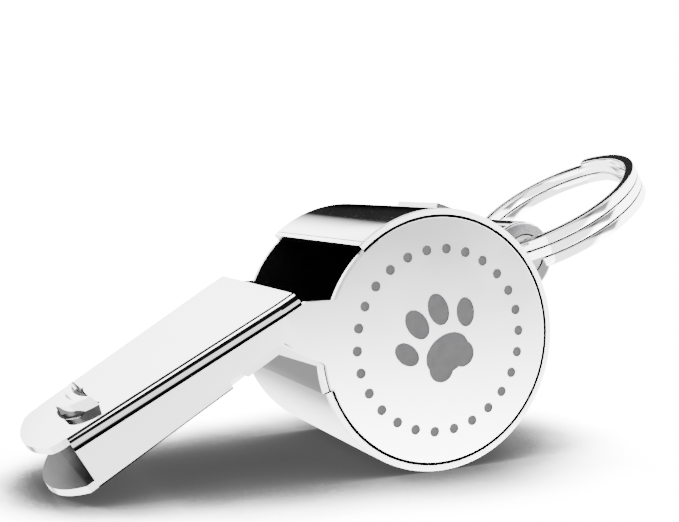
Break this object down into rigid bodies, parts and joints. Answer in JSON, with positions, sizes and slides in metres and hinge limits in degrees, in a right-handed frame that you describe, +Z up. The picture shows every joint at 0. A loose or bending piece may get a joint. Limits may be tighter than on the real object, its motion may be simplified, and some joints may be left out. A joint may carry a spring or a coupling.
{
  "type": "training whistle",
  "caption": "Polished metal pea whistle with a round barrel, a tapered mouthpiece with a tooth stop, a lanyard lug and a swinging split ring",
  "frame": {"origin": "centre of the bounding box in plan, at the height of the surface the whistle lies on", "axes": "+X from the mouthpiece's tip towards the lanyard ring, Y along the barrel's axis, +Z up"},
  "size_m": [0.0588, 0.019, 0.0266],
  "materials": {
    "side_plate_left": "polished bright steel",
    "side_plate_right": "polished bright steel",
    "engraving_infill": "matt dark lacquer in the engraved marks",
    "barrel_wrapper": "polished bright steel",
    "mouthpiece_top": "polished bright steel",
    "mouthpiece_bottom": "polished bright steel",
    "windway_floor": "polished bright steel",
    "ring_lug": "polished bright steel",
    "split_ring": "polished bright steel",
    "pea": "natural cork"
  },
  "bodies": {
    "whistle": {"side_plate_left": "side_plate_left", "side_plate_right": "side_plate_right", "engraving_infill": "engraving_infill", "barrel_wrapper": "barrel_wrapper", "mouthpiece_top": "mouthpiece_top", "mouthpiece_bottom": "mouthpiece_bottom", "windway_floor": "windway_floor", "ring_lug": "ring_lug"},
    "pea": {"pea": "pea"},
    "split_ring": {"split_ring": "split_ring"}
  },
  "joints": [
    {"name": "pea_roll", "type": "hinge", "parent": "whistle", "child": "pea", "pos_m": [0.00317, 0, 0.011], "axis": [0, 1, 0], "continuous": true},
    {"name": "ring_swing", "type": "hinge", "parent": "whistle", "child": "split_ring", "pos_m": [0.01431, 0, 0.01667], "axis": [0, 1, 0], "range_deg": [-80, 90]}
  ]
}
